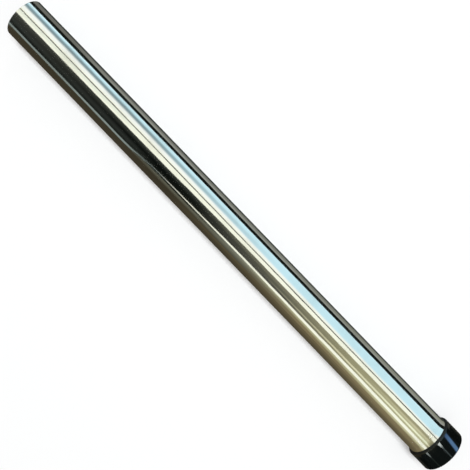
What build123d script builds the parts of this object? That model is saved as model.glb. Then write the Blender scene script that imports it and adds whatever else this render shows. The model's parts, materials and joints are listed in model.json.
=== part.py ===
from build123d import *
import os

# Suction extension tube: a plated steel tube, opened out at one end into a push-in socket
# for the plain end of the next tube, and a moulded collar snapped over that socket.
# Millimetres. The tube lies along X with its socket at +X, and the collar's lowest line is at z = 0.

# Driving dimensions of the tube
overall_length = 500.0  # plain end to the mouth of the collar
tube_diameter = 36.0  # outside
tube_wall = 0.8
cut_land = 0.3  # flat left between the two deburred edges of a cut end
flare_length = 8.0  # run over which the tube widens, centred on the collar's front edge
socket_clearance = 0.1  # radial room for a plain end in the socket

# Driving dimensions of the collar
collar_length = 18.5
collar_wall = 1.3  # thickness over the socket
collar_clearance = 0.05  # radial room between the collar and the steel
lip_thickness = 1.5  # rim that covers the cut end of the steel
lip_setback = 0.3  # the rim stands back from the socket's bore, so that it never catches a tube going in
mouth_land = 0.35  # flat of the mouth, between its round and its lead-in
mouth_lead_in = 0.5  # bevel on the bore's edge at the mouth

# Radii, from the axis of the tube
tube_radius = tube_diameter / 2
bore_radius = tube_radius - tube_wall
socket_rise = tube_wall + socket_clearance
socket_radius = bore_radius + socket_rise
socket_outer_radius = tube_radius + socket_rise
collar_bore_radius = socket_outer_radius + collar_clearance
collar_front_radius = tube_radius + socket_rise / 2 + collar_clearance
collar_radius = collar_bore_radius + collar_wall
lip_radius = socket_radius + lip_setback

# Stations along the tube
plain_end = -overall_length / 2
mouth = overall_length / 2
collar_front = mouth - collar_length
socket_end = mouth - lip_thickness
flare_start = collar_front - flare_length / 2
flare_end = collar_front + flare_length / 2
hook_end = collar_front + flare_length / 4  # so the hook leans as the flare does where it is steepest

# Edges, each as large as its wall allows beside its land; the collar's front has none, it is all round
cut_bevel = (tube_wall - cut_land) / 2
collar_front_round = collar_radius - collar_front_radius
mouth_round = collar_radius - lip_radius - mouth_lead_in - mouth_land


def corner(section, station, radius):
    """The corner of a section at a point."""
    return section.vertices().sort_by_distance((station, radius, 0))[0]


def turned(section):
    """A section turned about the tube's axis, which lies at the collar's own radius above the surface."""
    return Pos(0, 0, collar_radius) * revolve(section, Axis.X)


def wall_line(radius):
    """One face of the tube's wall in section: plain run, flare and socket."""
    halfway = (collar_front, radius + socket_rise / 2)
    widened = (flare_end, radius + socket_rise)
    straight = Line((plain_end, radius), (flare_start, radius))
    outward = TangentArc(straight @ 1, halfway, tangent=straight % 1)
    levelling = TangentArc(halfway, widened, tangent=outward % 1)
    socket = Line(widened, (socket_end, radius + socket_rise))
    return straight + outward + levelling + socket


def make_tube():
    """Steel tube: one wall all along, deburred where a hand or a mating tube meets its cut ends."""
    plain_cut = Line((plain_end, bore_radius), (plain_end, tube_radius))
    socket_cut = Line((socket_end, socket_radius), (socket_end, socket_outer_radius))
    inside = wall_line(bore_radius)
    outside = wall_line(tube_radius)
    section = make_face(inside.edges() + socket_cut.edges() + outside.edges() + plain_cut.edges())
    section = chamfer(corner(section, plain_end, tube_radius), cut_bevel)
    section = chamfer(corner(section, plain_end, bore_radius), cut_bevel)
    section = chamfer(corner(section, socket_end, socket_radius), cut_bevel)
    return turned(section)


def make_end_collar():
    """Moulded ring: its hook grips behind the flare, and its rim at the mouth covers the cut steel."""
    front_edge = (collar_front, collar_front_radius)
    front = TangentArc(front_edge, (collar_front + collar_front_round, collar_radius), tangent=(0, 1))
    rest = Polyline(
        front @ 1,
        (mouth, collar_radius),
        (mouth, lip_radius),
        (socket_end, lip_radius),
        (socket_end, collar_bore_radius),
        (hook_end, collar_bore_radius),
        front_edge,
    )
    section = make_face(front.edges() + rest.edges())
    section = fillet(corner(section, mouth, collar_radius), mouth_round)
    section = chamfer(corner(section, mouth, lip_radius), mouth_lead_in)
    return turned(section)


os.makedirs("parts", exist_ok=True)
for name, piece in {"tube": make_tube(), "end_collar": make_end_collar()}.items():
    export_step(piece, f"parts/{name}.step")
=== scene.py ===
import json
import math

import bpy
import numpy as np
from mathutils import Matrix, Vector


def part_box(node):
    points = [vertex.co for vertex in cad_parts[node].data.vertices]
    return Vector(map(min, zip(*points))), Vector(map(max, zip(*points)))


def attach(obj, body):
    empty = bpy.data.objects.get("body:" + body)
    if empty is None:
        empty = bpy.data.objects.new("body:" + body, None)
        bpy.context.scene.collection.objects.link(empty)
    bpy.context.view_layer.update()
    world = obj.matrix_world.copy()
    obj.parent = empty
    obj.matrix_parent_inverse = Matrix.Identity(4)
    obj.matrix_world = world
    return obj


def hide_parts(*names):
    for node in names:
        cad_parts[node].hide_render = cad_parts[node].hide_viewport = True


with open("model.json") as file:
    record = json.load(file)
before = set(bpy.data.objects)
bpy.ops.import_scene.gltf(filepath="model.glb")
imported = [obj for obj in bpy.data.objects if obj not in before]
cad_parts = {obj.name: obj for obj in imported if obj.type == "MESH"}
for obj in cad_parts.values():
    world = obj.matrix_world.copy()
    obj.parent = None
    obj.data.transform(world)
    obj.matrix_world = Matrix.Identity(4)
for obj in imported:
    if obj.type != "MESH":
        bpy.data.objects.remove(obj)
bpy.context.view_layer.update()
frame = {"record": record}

# Tube: a welded steel tube, polished and chrome-plated outside, bare and dull inside.
# One end is cut square and deburred. The other is opened out on a mandrel into a short socket,
# which the plain end of the next tube pushes into.
mounts = {mount["name"]: mount for mount in frame["record"]["mounts"]}
plain_wall = mounts["plain_end"]
socket_wall = mounts["socket"]
tube_low, tube_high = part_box("tube")
collar_low, collar_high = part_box("end_collar")

axis_height = plain_wall["pos_m"][2]
tube_radius = plain_wall["dims"]["r_mm"] / 1000
socket_radius = socket_wall["dims"]["r_mm"] / 1000
socket_outer_radius = tube_high.y
tube_wall = socket_outer_radius - socket_radius
bore_radius = tube_radius - tube_wall
plain_end = tube_low.x
socket_end = tube_high.x
wall_start = plain_wall["pos_m"][0]
cut_round = wall_start - plain_end
past_cut = 2 * cut_round
flare_start = wall_start + plain_wall["dims"]["length_mm"] / 1000
flare_end = 2 * collar_low.x - flare_start  # the flare is centred on the collar's front edge
segments = 192
ring_pitch = 0.012
smooth_below = math.radians(30)


def straight(start, end, radius):
    """A straight stretch of a section, with a ring every so often so that its faces stay short."""
    count = max(1, round(abs(end - start) / ring_pitch))
    return [(start + (end - start) * step / count, radius) for step in range(count + 1)]


def rounded(centre, radius, start, end, steps=6):
    """An arc of a section about a centre, with angles in degrees from the tube's axis outwards."""
    angles = [math.radians(start + (end - start) * step / steps) for step in range(steps + 1)]
    return [(centre[0] + radius * math.cos(a), centre[1] + radius * math.sin(a)) for a in angles]


def flare(radius, steps=20):
    """The flare's two opposite bends, between the wall's own radius and the socket's."""
    rise = socket_radius - bore_radius
    points = []
    for step in range(1, steps):
        share = step / steps
        climb = 2 * share**2 if share < 0.5 else 1 - 2 * (1 - share) ** 2
        points.append((flare_start + (flare_end - flare_start) * share, radius + rise * climb))
    return points


def new_object(name, data):
    """An object made of a mesh, a camera or a lamp, and put into the scene."""
    made = bpy.data.objects.new(name, data)
    bpy.context.scene.collection.objects.link(made)
    return made


def turned(name, section):
    """A closed section of (station, radius) points, outside first, turned about the tube's axis."""
    turns = [math.tau * step / segments for step in range(segments)]
    points = []
    for station, radius in section:
        points += [(station, radius * math.sin(t), axis_height + radius * math.cos(t)) for t in turns]
    faces = []
    for row in range(len(section)):
        here = row * segments
        beyond = (row + 1) % len(section) * segments
        for step in range(segments):
            after = (step + 1) % segments
            faces.append((here + step, beyond + step, beyond + after, here + after))
    mesh = bpy.data.meshes.new(name)
    mesh.from_pydata(points, [], faces)
    mesh.shade_smooth()
    mesh.set_sharp_from_angle(angle=smooth_below)
    return new_object(name, mesh)


tube_outside = (
    rounded((plain_end + cut_round, tube_radius - cut_round), cut_round, 180, 90)
    + straight(plain_end + past_cut, flare_start, tube_radius)
    + flare(tube_radius)
    + straight(flare_end, socket_end, socket_outer_radius)
)
tube_inside = (
    rounded((socket_end - cut_round, socket_radius + cut_round), cut_round, 0, -90)
    + straight(socket_end - past_cut, flare_end, socket_radius)
    + flare(bore_radius)[::-1]
    + straight(flare_start, plain_end + past_cut, bore_radius)
    + rounded((plain_end + cut_round, bore_radius + cut_round), cut_round, 270, 180)
)
tube = turned("plated_tube", tube_outside + tube_inside)


def add(tree, kind, inputs=None, **settings):
    """Adds a node, with its own settings, and fills its inputs with values or with other nodes' outputs."""
    node = tree.nodes.new("ShaderNode" + kind)
    for name, value in settings.items():
        setattr(node, name, value)
    for key, value in (inputs or {}).items():
        if isinstance(value, bpy.types.NodeSocket):
            tree.links.new(value, node.inputs[key])
        else:
            node.inputs[key].default_value = value
    return node


def math_node(tree, operation, first, second=0.0):
    """The result of one sum on two values or outputs."""
    return add(tree, "Math", {0: first, 1: second}, operation=operation).outputs[0]


def between(tree, value, low, high, to_low=0.0, to_high=1.0):
    """Maps a value from one span to another, smoothly and without leaving the second."""
    spans = {"Value": value, "From Min": low, "From Max": high, "To Min": to_low, "To Max": to_high}
    return add(tree, "MapRange", spans, interpolation_type="SMOOTHSTEP").outputs["Result"]


def blend(tree, share, first, second):
    """Mixes two colours."""
    return add(tree, "Mix", {0: share, 6: first, 7: second}, data_type="RGBA").outputs[2]


def new_group(name, takes, gives):
    """An empty node group, what it is given and what it puts out, each named by (name, kind) pairs."""
    group = bpy.data.node_groups.new(name, "ShaderNodeTree")
    for socket, kind in takes:
        group.interface.new_socket(socket, in_out="INPUT", socket_type="NodeSocket" + kind)
    for socket, kind in gives:
        group.interface.new_socket(socket, in_out="OUTPUT", socket_type="NodeSocket" + kind)
    return group, group.nodes.new("NodeGroupInput").outputs, group.nodes.new("NodeGroupOutput").inputs


def make_turned_surface():
    """Places on a turned piece: along its axis, round it in radians from the top, and its inner side."""
    faces_inwards = -0.5
    lengthwise_share = 0.05
    gives = [("Along", "Float"), ("Round", "Float"), ("Inside", "Float"), ("Lengthwise", "Vector")]
    group, _, out = new_group("turned_surface", [], gives)
    place = add(group, "TexCoord").outputs
    spot = add(group, "SeparateXYZ", {0: place["Object"]}).outputs
    height = math_node(group, "SUBTRACT", spot["Z"], axis_height)
    round_it = math_node(group, "ARCTAN2", spot["Y"], height)
    outwards = add(group, "CombineXYZ", {"Y": spot["Y"], "Z": height}).outputs[0]
    outwards = add(group, "VectorMath", {0: outwards}, operation="NORMALIZE").outputs[0]
    facing = {0: outwards, 1: place["Normal"]}
    facing = add(group, "VectorMath", facing, operation="DOT_PRODUCT").outputs["Value"]
    inside = math_node(group, "LESS_THAN", facing, faces_inwards)
    shortened = {0: place["Object"], 1: (lengthwise_share, 1.0, 1.0)}
    lengthwise = add(group, "VectorMath", shortened, operation="MULTIPLY").outputs[0]
    group.links.new(spot["X"], out["Along"])
    group.links.new(round_it, out["Round"])
    group.links.new(inside, out["Inside"])
    group.links.new(lengthwise, out["Lengthwise"])
    return group


def make_handling_marks():
    """Marks of use: soft smudges of a given size, and hairlines that run along the piece."""
    smudge_span = (0.42, 0.72)
    hairline_span = (0.64, 0.74)
    takes = [("Lengthwise", "Vector"), ("Smudges Per Metre", "Float"), ("Hairlines Per Metre", "Float")]
    group, given, out = new_group("handling_marks", takes, [("Smudge", "Float"), ("Hairline", "Float")])
    place = add(group, "TexCoord").outputs["Object"]
    wide = {"Vector": place, "Scale": given["Smudges Per Metre"], "Detail": 5.0, "Roughness": 0.6}
    smudge = add(group, "TexNoise", wide).outputs["Fac"]
    fine = {"Vector": given["Lengthwise"], "Scale": given["Hairlines Per Metre"], "Detail": 2.0}
    hairline = add(group, "TexNoise", fine).outputs["Fac"]
    group.links.new(between(group, smudge, *smudge_span), out["Smudge"])
    group.links.new(between(group, hairline, *hairline_span), out["Hairline"])
    return group


turned_surface = make_turned_surface()
handling_marks = make_handling_marks()


def new_material(name):
    """A material of one Principled shader, ready to be wired."""
    material = bpy.data.materials.new(name)
    material.use_nodes = True
    tree = material.node_tree
    return material, tree, tree.nodes["Principled BSDF"]


def make_chrome():
    """Bright chrome outside, with faint marks of the polishing belt, and dull drawn steel inside."""
    plate = (0.86, 0.865, 0.86, 1)
    hazed_plate = (0.79, 0.79, 0.775, 1)
    bare_steel = (0.40, 0.39, 0.38, 1)
    streaked_steel = (0.27, 0.26, 0.25, 1)
    weld_tint = (0.17, 0.16, 0.17, 1)
    weld_half_angle = 0.06
    belt_lines_per_metre = 420.0
    belt_line_depth = 0.000012
    swells_per_metre = 60.0
    swell_height = 0.00010
    streak_span = (0.35, 0.65)
    plate_roughness = (0.08, 0.13)
    bore_roughness = (0.48, 0.34)
    hairline_dulling = 0.03
    scuff_dulling = 0.03
    pushed_in = 0.017
    scuffed_until = plain_end + 0.6 * pushed_in
    bright_from = plain_end + 1.4 * pushed_in

    material, tree, shader = new_material("chromed_steel")
    surface = add(tree, "Group", node_tree=turned_surface).outputs
    marks = {
        "Lengthwise": surface["Lengthwise"],
        "Smudges Per Metre": 28.0,
        "Hairlines Per Metre": 900.0,
    }
    handled = add(tree, "Group", marks, node_tree=handling_marks).outputs

    belt = {"Vector": surface["Lengthwise"], "Scale": belt_lines_per_metre, "Detail": 4.0}
    drawn = add(tree, "TexNoise", belt).outputs["Fac"]
    streak = between(tree, drawn, *streak_span)
    from_bottom = math_node(tree, "SUBTRACT", math.pi, math_node(tree, "ABSOLUTE", surface["Round"]))
    weld = between(tree, from_bottom, 0.5 * weld_half_angle, weld_half_angle, 1.0, 0.0)
    steel = blend(tree, streak, streaked_steel, bare_steel)
    steel = blend(tree, weld, steel, weld_tint)
    plating = blend(tree, handled["Smudge"], plate, hazed_plate)
    tree.links.new(blend(tree, surface["Inside"], plating, steel), shader.inputs["Base Color"])

    scuffed = between(tree, surface["Along"], scuffed_until, bright_from, scuff_dulling, 0.0)
    gloss = between(tree, handled["Smudge"], 0.0, 1.0, *plate_roughness)
    gloss = math_node(tree, "ADD", gloss, math_node(tree, "MULTIPLY", handled["Hairline"], hairline_dulling))
    gloss = math_node(tree, "ADD", gloss, scuffed)
    dull = between(tree, streak, 0.0, 1.0, *bore_roughness)
    outer = math_node(tree, "SUBTRACT", 1.0, surface["Inside"])
    gloss = math_node(tree, "MULTIPLY", gloss, outer)
    dull = math_node(tree, "MULTIPLY", dull, surface["Inside"])
    tree.links.new(math_node(tree, "ADD", gloss, dull), shader.inputs["Roughness"])

    place = add(tree, "TexCoord").outputs["Object"]
    swell = add(tree, "TexNoise", {"Vector": place, "Scale": swells_per_metre, "Detail": 2.0}).outputs["Fac"]
    swell = add(tree, "Bump", {"Height": swell, "Distance": swell_height}).outputs[0]
    lines = add(tree, "Bump", {"Height": drawn, "Normal": swell, "Distance": belt_line_depth}).outputs[0]
    tree.links.new(lines, shader.inputs["Normal"])
    shader.inputs["Metallic"].default_value = 1.0
    return material


tube.data.materials.append(make_chrome())
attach(tube, "root")
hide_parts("tube")

# End collar: one ring moulded in glossy black plastic, all round at its front edge.
# It is pushed over the socket until its hook snaps in behind the flare,
# and its rim at the mouth then covers the cut edge of the steel.
collar_front = collar_low.x
mouth = collar_high.x
collar_radius = collar_high.y
collar_clearance = 0.00005
rim_setback = 0.0003
mouth_land = 0.00035
lead_in = 0.0005
collar_bore_radius = socket_outer_radius + collar_clearance
front_radius = tube_radius + (socket_outer_radius - tube_radius) / 2 + collar_clearance
rim_radius = socket_radius + rim_setback
front_round = collar_radius - front_radius
mouth_round = collar_radius - rim_radius - lead_in - mouth_land
hook_end = collar_front + (flare_end - flare_start) / 4
past_front = 1.2 * front_round
past_mouth = 1.2 * mouth_round

collar_outside = (
    rounded((collar_front + front_round, front_radius), front_round, 180, 90, steps=16)
    + straight(collar_front + past_front, mouth - past_mouth, collar_radius)
    + rounded((mouth - mouth_round, collar_radius - mouth_round), mouth_round, 90, 0, steps=12)
)
collar_inside = [
    (mouth, rim_radius + lead_in),
    (mouth - lead_in, rim_radius),
    (socket_end, rim_radius),
    (socket_end, collar_bore_radius),
    (hook_end, collar_bore_radius),
]
end_collar = turned("collar_ring", collar_outside + collar_inside)


def make_black_plastic():
    """Black gloss plastic with a faint orange peel, smudges, and dulled edges where it is knocked."""
    moulded_black = (0.003, 0.004, 0.0038, 1)
    rubbed_black = (0.008, 0.009, 0.009, 1)
    plastic_roughness = (0.07, 0.11)
    wear_dulling = 0.12
    front_dulling = 0.5
    hairline_wear = 0.4
    peel_per_metre = 700.0
    peel_depth = 0.000006
    front_wear_end = collar_front + 1.3 * front_round
    mouth_wear_start = mouth - 1.5 * mouth_round
    dull_until = collar_front + 0.5 * front_round
    glossy_from = collar_front + 1.1 * front_round

    material, tree, shader = new_material("black_plastic")
    surface = add(tree, "Group", node_tree=turned_surface).outputs
    marks = {
        "Lengthwise": surface["Lengthwise"],
        "Smudges Per Metre": 90.0,
        "Hairlines Per Metre": 1500.0,
    }
    handled = add(tree, "Group", marks, node_tree=handling_marks).outputs

    front_wear = between(tree, surface["Along"], collar_front, front_wear_end, 1.0, 0.0)
    mouth_wear = between(tree, surface["Along"], mouth_wear_start, mouth, 0.0, 1.0)
    wear = math_node(tree, "MULTIPLY", math_node(tree, "MAXIMUM", front_wear, mouth_wear), handled["Smudge"])
    wear = math_node(tree, "MAXIMUM", wear, math_node(tree, "MULTIPLY", handled["Hairline"], hairline_wear))
    tree.links.new(blend(tree, wear, moulded_black, rubbed_black), shader.inputs["Base Color"])

    gloss = between(tree, handled["Smudge"], 0.0, 1.0, *plastic_roughness)
    gloss = math_node(tree, "ADD", gloss, math_node(tree, "MULTIPLY", wear, wear_dulling))
    dulled = between(tree, surface["Along"], dull_until, glossy_from, front_dulling, 0.0)
    tree.links.new(math_node(tree, "ADD", gloss, dulled), shader.inputs["Roughness"])

    place = add(tree, "TexCoord").outputs["Object"]
    peel = add(tree, "TexNoise", {"Vector": place, "Scale": peel_per_metre, "Detail": 1.0}).outputs["Fac"]
    peel = add(tree, "Bump", {"Height": peel, "Distance": peel_depth}).outputs[0]
    tree.links.new(peel, shader.inputs["Normal"])
    shader.inputs["IOR"].default_value = 1.5
    return material


end_collar.data.materials.append(make_black_plastic())
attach(end_collar, "root")
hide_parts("end_collar")

# Floor: a plain pale board, large enough to fill every view.
# The collar is wider than the tube, so the tube comes to rest at a slight slope to the floor:
# the board leans by that much, to meet both the collar and the plain end.
floor_reach = 6.0
floor_colour = (0.97, 0.97, 0.965, 1)
floor_roughness = 0.9
floor_white = 0.25
white_from = 0.6
white_beyond = 2.4
collar_foot = collar_front + front_round
tube_foot_height = axis_height - tube_radius
floor_slope = tube_foot_height / (collar_foot - plain_end)


def floor_height(along):
    """How high the leaning board is at a station along the tube."""
    return (collar_foot - along) * floor_slope


floor_mesh = bpy.data.meshes.new("floor")
floor_corners = [(x * floor_reach, y * floor_reach) for x, y in [(-1, -1), (1, -1), (1, 1), (-1, 1)]]
floor_mesh.from_pydata([(x, y, floor_height(x)) for x, y in floor_corners], [], [(0, 1, 2, 3)])
floor = new_object("floor", floor_mesh)
floor_material, floor_tree, floor_shader = new_material("pale_board")
floor_shader.inputs["Base Color"].default_value = floor_colour
floor_shader.inputs["Roughness"].default_value = floor_roughness
floor_shader.inputs["Specular IOR Level"].default_value = 0.0


def background_rays(tree):
    """One for the rays that show the background: the camera's, and those off metal or through glass."""
    rays = add(tree, "LightPath").outputs
    shown = math_node(tree, "MAXIMUM", rays["Is Camera Ray"], rays["Is Glossy Ray"])
    return math_node(tree, "MAXIMUM", shown, rays["Is Transmission Ray"])


floor_glow = add(floor_tree, "Emission", {"Strength": 1.0}).outputs[0]
floor_spot = add(floor_tree, "TexCoord").outputs["Object"]
from_middle = add(floor_tree, "VectorMath", {0: floor_spot}, operation="LENGTH").outputs["Value"]
whiteness = between(floor_tree, from_middle, white_from, white_beyond, floor_white, 1.0)
glow_share = math_node(floor_tree, "MULTIPLY", background_rays(floor_tree), whiteness)
floor_mix = add(floor_tree, "MixShader", {0: glow_share, 1: floor_shader.outputs[0], 2: floor_glow})
floor_tree.links.new(floor_mix.outputs[0], floor_tree.nodes["Material Output"].inputs["Surface"])
floor_mesh.materials.append(floor_material)

# Camera: straight above the middle of the tube and close to it, turned so that the tube
# runs from the upper left to the lower right and both of its ends show a little of their outside.
camera_height = 0.492
camera_turn = math.radians(46.0)
camera_aside = (0.0010, 0.0005)
camera_data = bpy.data.cameras.new("camera")
camera_data.lens = 45.3
camera_data.sensor_width = 36.0
camera_data.clip_start = 0.01
camera = new_object("camera", camera_data)
camera.location = (*camera_aside, axis_height + camera_height)
camera.rotation_euler = (0, 0, camera_turn)
bpy.context.scene.camera = camera
bpy.context.scene.view_settings.view_transform = "Standard"

# Light: an even white room, and one wide soft lamp almost overhead, a little to the right of the tube.
# The room shows white to the camera and in the plating. The light that it gives is a little warm,
# and the lamp's is a little cool.
room_light = 0.4
room_colour = (1.0, 0.97, 0.92, 1)
shown_white = (1, 1, 1, 1)
lamp_place = (0.0, 0.27, 2.5)
lamp_size = (1.8, 0.54)
lamp_power = 46.0
lamp_colour = (0.97, 1.0, 1.04)
room = bpy.data.worlds.new("white_room")
room.use_nodes = True
room_tree = room.node_tree
room_shown = background_rays(room_tree)
room_paint = blend(room_tree, room_shown, room_colour, shown_white)
room_strength = between(room_tree, room_shown, 0.0, 1.0, room_light, 1.0)
room_tree.links.new(room_paint, room_tree.nodes["Background"].inputs["Color"])
room_tree.links.new(room_strength, room_tree.nodes["Background"].inputs["Strength"])
bpy.context.scene.world = room

lamp_data = bpy.data.lights.new("soft_lamp", "AREA")
lamp_data.shape = "RECTANGLE"
lamp_data.size, lamp_data.size_y = lamp_size
lamp_data.energy = lamp_power
lamp_data.color = lamp_colour
lamp = new_object("soft_lamp", lamp_data)
lamp.location = lamp_place
lamp.rotation_euler = (-math.atan2(lamp_place[1], lamp_place[2] - axis_height), 0, 0)
lamp.visible_glossy = False

# Cards: polished plating looks like what stands round it, so painted cards, which only reflections show,
# hang over the tube and lie beside it. A place is where a card shows along the tube, from -1 at the plain
# end to 1 at the mouth. An angle is where it hangs, in degrees from straight up towards +Y.
card_distance = 0.8
in_front = 0.7
half_behind = 0.9
behind = 0.95
fade_start = -2.2
card_start = -1.4
bend_start = -0.45
bend_end = -0.33
fade_end = 1.8
half_length = (mouth - plain_end) / 2
collar_place = collar_front / half_length
corners_across = 24

jet = (0.002, 0.003, 0.0025)
black = (0.007, 0.009, 0.007)
soot = (0.028, 0.032, 0.028)
charcoal = (0.045, 0.05, 0.043)
ash = (0.072, 0.073, 0.059)
grey = (0.17, 0.17, 0.15)
pale_grey = (0.34, 0.35, 0.31)
lead_grey = (0.25, 0.30, 0.28)
earth = (0.05, 0.042, 0.026)
umber = (0.10, 0.082, 0.045)
moss = (0.14, 0.14, 0.10)
pale_moss = (0.21, 0.20, 0.135)
olive = (0.26, 0.27, 0.21)
drab = (0.24, 0.195, 0.105)
khaki = (0.38, 0.36, 0.21)
tan = (0.58, 0.57, 0.34)
sand = (0.75, 0.71, 0.46)
straw = (1.05, 1.10, 0.80)
ivory = (0.93, 0.97, 0.82)
cream = (1.08, 1.09, 0.91)
white = (1.05, 1.09, 1.03)
steel_blue = (0.24, 0.34, 0.37)
sky_blue = (0.65, 0.94, 1.03)
ice_blue = (1.0, 1.25, 1.3)


def make_card_paint():
    """Paint that takes its colour from the card's own corners and runs between them."""
    material = bpy.data.materials.new("card_paint")
    material.use_nodes = True
    tree = material.node_tree
    tree.nodes.clear()
    colour = add(tree, "VertexColor", layer_name="paint").outputs["Color"]
    glow = add(tree, "Emission", {"Color": colour}).outputs[0]
    add(tree, "OutputMaterial", {"Surface": glow})
    material.cycles.emission_sampling = "NONE"
    return material


card_paint = make_card_paint()


def make_card(name, rows):
    """A card from rows of (point, colour) corners, as many in each row, that only reflections show."""
    width = len(rows[0])
    points = [point for row in rows for point, _ in row]
    colours = [value for row in rows for _, colour in row for value in (*colour, 1.0)]
    faces = []
    for row in range(len(rows) - 1):
        for step in range(width - 1):
            corner = row * width + step
            faces.append((corner, corner + 1, corner + width + 1, corner + width))
    mesh = bpy.data.meshes.new(name)
    mesh.from_pydata(points, [], faces)
    mesh.color_attributes.new("paint", "FLOAT_COLOR", "POINT").data.foreach_set("color", colours)
    mesh.materials.append(card_paint)
    card = new_object(name, mesh)
    card.visible_camera = False
    card.visible_diffuse = False
    card.visible_transmission = False
    card.visible_shadow = False


def hang_card(name, rows, distance=card_distance):
    """A card bent round the tube, from rows of a place and of (angle, colour) stops in rising order."""
    spread = 1 + (distance - tube_radius) / (camera_height - tube_radius)
    placed = []
    for place, stops in rows:
        along = place * half_length * spread
        stop_angles, stop_colours = zip(*stops)
        angles = np.linspace(stop_angles[0], stop_angles[-1], corners_across)
        channels = [np.interp(angles, stop_angles, shades) for shades in zip(*stop_colours)]
        row = []
        for turn, colour in zip(np.radians(angles), zip(*channels)):
            row.append(((along, distance * np.sin(turn), axis_height + distance * np.cos(turn)), colour))
        placed.append(row)
    make_card(name, placed)


def stretch(colour, start, end):
    """The two stops of a stretch in one colour."""
    return [(start, colour), (end, colour)]


def hang_long_card(name, rows, distance=card_distance):
    """A card over the whole tube, which fades to white past both ends, so that no view shows it cut off."""
    first_stops = rows[0][1]
    last_stops = rows[-1][1]
    fade_in = stretch(white, first_stops[0][0], first_stops[-1][0])
    fade_out = stretch(white, last_stops[0][0], last_stops[-1][0])
    hang_card(name, [(fade_start, fade_in), *rows, (fade_end, fade_out)], distance)


bright_ceiling = [(-66, cream), (24, cream), (30, white), (48, white)]
greyed_ceiling = [(-66, cream), (-3, cream), (5, ivory), (12, ivory), (24, cream), (30, white), (48, white)]
hang_long_card("cream_ceiling", [
    (card_start, greyed_ceiling),
    (-0.60, greyed_ceiling),
    (-0.35, bright_ceiling),
    (collar_place, bright_ceiling),
], distance=behind)
hang_long_card("dark_flag", [
    (card_start, [(-76, black), (-66, black), (-50, charcoal), (-18, ash), (-9, ash)]),
    (bend_start, [(-76, black), (-55, soot), (-35, jet), (-9, charcoal)]),
    (bend_end, [(-58, black), (-30, jet), (-8, charcoal)]),
    (-0.15, [(-53, black), (-28, black), (-4, charcoal)]),
    (0.06, [(-46.5, charcoal), (-34, ash), (-20, ash), (-12, moss), (-1, moss)]),
    (0.25, [(-46, ash), (-39, ash), (-34, moss), (-20, moss), (-12, pale_moss), (-1, pale_moss)]),
    (0.60, stretch(khaki, -45.5, -1.5)),
    (collar_place, [(-48.5, tan), (-23, tan), (-18, sand), (-14, sand), (-9, khaki), (1.5, khaki)]),
])
hang_card("light_strip", [
    (0.15, stretch(ash, -34, -29)),
    (0.50, stretch(sand, -36.5, -28.5)),
    (collar_place, stretch(straw, -38, -28)),
    (fade_end, stretch(white, -38, -28)),
], distance=in_front)
hang_card("grey_strip", [
    (fade_start, stretch(white, -90, -74)),
    (card_start, stretch(lead_grey, -90, -74)),
    (bend_start, stretch(lead_grey, -90, -74)),
    (bend_end, stretch(lead_grey, -64, -56)),
    (-0.20, stretch(cream, -64, -50)),
], distance=half_behind)
hang_long_card("brown_board", [
    (card_start, stretch(earth, -92, -88)),
    (bend_start, stretch(earth, -92, -88)),
    (bend_end, [(-92, earth), (-74, moss), (-67, black), (-60.5, black)]),
    (-0.17, [(-92, earth), (-74, moss), (-66, black), (-59, black)]),
    (0.06, [(-92, ash), (-77, moss), (-56, olive)]),
    (0.35, [(-92, drab), (-75, drab), (-59, tan)]),
    (collar_place, [(-92, drab), (-80, drab), (-73, tan), (-64, sand)]),
])
hang_long_card("thin_strip", [
    (card_start, stretch(charcoal, 15.5, 20.5)),
    (0.0, stretch(charcoal, 15.5, 20.5)),
    (collar_place, stretch(charcoal, 18.5, 23.5)),
], distance=in_front)
hang_long_card("blue_panel", [
    (card_start, [(44, white), *stretch(steel_blue, 54, 65), (73, sky_blue), *stretch(ice_blue, 78, 87)]),
    (bend_start, [(39, white), *stretch(steel_blue, 49, 57), *stretch(sky_blue, 67, 77), (83, ice_blue)]),
    (0.20, [(32, white), *stretch(sky_blue, 42, 77), (83, ice_blue)]),
    (collar_place, [(25, white), *stretch(sky_blue, 36, 77), (83, ice_blue)]),
])

mat_lift = 0.002
mat_gap = 0.021
shade_end = 0.036
light_start = 0.044
light_full = 0.09
mat_blend = 0.16
mat_reach = 0.8
kerb_side = 0.14
kerb_top = 0.054
kerb_end = 1.03
end_mat_edge = -1.02


def beside(place, side):
    """The station at which something on the floor, off to one side, shows at a place on the tube."""
    return place * half_length * (1 + abs(side) / camera_height)


def lay_mat(name, rows):
    """A mat on the floor, from rows of a place and of (distance to the side, colour) stops."""
    placed = []
    for place, stops in rows:
        spots = [(beside(place, side), side, colour) for side, colour in stops]
        placed.append([((x, y, floor_height(x) + mat_lift), colour) for x, y, colour in spots])
    make_card(name, placed)


# From the middle on, the brown mat is darker next to the tube than further out: painted shade, as the
# plating sees it.
brown_rows = []
for place, near, far in [
    (card_start, earth, earth),
    (-0.25, earth, earth),
    (0.0, earth, umber),
    (collar_place, umber, drab),
]:
    brown_rows.append((place, [(-mat_gap, near), (-mat_blend, far), (-mat_reach, far)]))
lay_mat("brown_mat", brown_rows)

# The charcoal stretch next to the tube, up to shade_end, is painted shadow of the tube on the floor, as the
# plating sees it.
grey_rows = []
for place, near, far, rim in [
    (card_start, grey, grey, ash),
    (-0.80, grey, grey, ash),
    (-0.55, grey, pale_grey, pale_grey),
    (collar_place, olive, pale_grey, pale_grey),
]:
    shade = stretch(charcoal, mat_gap, shade_end)
    grey_rows.append((place, [*shade, (light_start, near), (light_full, far), (kerb_side, rim)]))
lay_mat("grey_mat", grey_rows)

kerb_stations = [beside(place, kerb_side) for place in (card_start, kerb_end)]
make_card("black_kerb", [[((x, kerb_side, z), black) for z in (0.0, kerb_top)] for x in kerb_stations])
lay_mat("end_mat", [(place, stretch(black, -mat_gap, mat_gap)) for place in (card_start, end_mat_edge)])
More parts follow.
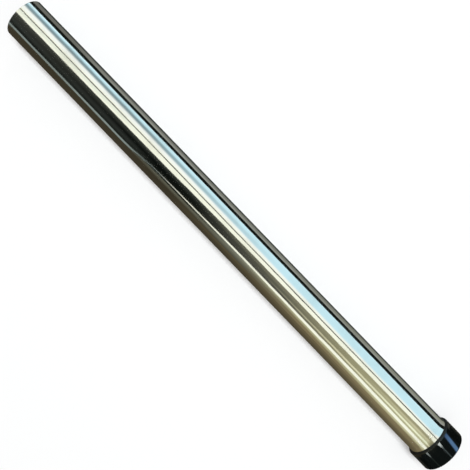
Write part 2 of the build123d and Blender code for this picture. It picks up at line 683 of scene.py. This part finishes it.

# Collar cards: the glossy black collar faces a dark board of its own, which fades to white past the mouth.
# A slanted blue window and two small lamps that taper off along the tube hang close over it,
# where the plating beside it hardly sees them. Dark mats lie at its sides. These too are painted cards that
# only reflections show: the board paints the collar's dark reflection, the window its blue reflection,
# and the two small lamps, which are bright cards rather than lamps, paint its two glints.
close = 0.06
board_distance = 0.15
board_side = 92
dark_end = 1.12
board_end = 1.5
window_start = collar_place + 0.006
window_bright = window_start + 0.03
window_end = 1.06
lamp_narrows = collar_place + 0.009
lamp_fades = collar_place + 0.025
low_lamp_start = collar_place + 0.004
low_lamp_narrows = collar_place + 0.015
low_lamp_fades = collar_place + 0.030
dark_mat_end = 1.10
dark_mat_gap = 0.0225
ash_reach = 0.045
black_from = 0.06
night = (0.03, 0.042, 0.04)
dusk_blue = (0.9, 1.8, 3.6)
window_blue = (1.8, 3.6, 6.5)
lamp_white = (13.0, 14.0, 13.5)
lamp_faded = (1.1, 1.4, 1.4)
lamp_dim = (0.2, 0.3, 0.3)
low_lamp_white = (4.5, 5.0, 4.8)
low_lamp_dim = (0.25, 0.35, 0.28)
hang_card("dark_board", [
    (collar_place, stretch(night, -board_side, board_side)),
    (dark_end, stretch(night, -board_side, board_side)),
    (board_end, stretch(white, -board_side, board_side)),
], distance=board_distance)
hang_card("blue_window", [
    (window_start, [(43, night), *stretch(dusk_blue, 48, 60), (64.5, night)]),
    (window_bright, [(39, night), *stretch(window_blue, 44.5, 55.5), (61, night)]),
    (window_end, [(22, night), *stretch(window_blue, 27.5, 39), (43.5, night)]),
], distance=close)
hang_card("small_lamp", [
    (collar_place, stretch(lamp_white, 2, 15.5)),
    (lamp_narrows, stretch(lamp_white, 3.5, 13.5)),
    (lamp_fades, stretch(lamp_faded, 6.5, 11)),
    (window_end, stretch(lamp_dim, 6.5, 11)),
], distance=close)
hang_card("low_lamp", [
    (low_lamp_start, stretch(low_lamp_white, -56.5, -47.5)),
    (low_lamp_narrows, stretch(low_lamp_white, -55.5, -49)),
    (low_lamp_fades, stretch(low_lamp_dim, -54, -50)),
    (window_end, stretch(low_lamp_dim, -54, -50)),
], distance=close)
for side in (-1, 1):
    dark_stops = [*stretch(ash, dark_mat_gap, ash_reach), (black_from, black), (mat_reach, night)]
    dark_stops = [(side * reach, colour) for reach, colour in dark_stops]
    lay_mat("dark_mat", [(collar_place, dark_stops), (dark_mat_end, dark_stops)])
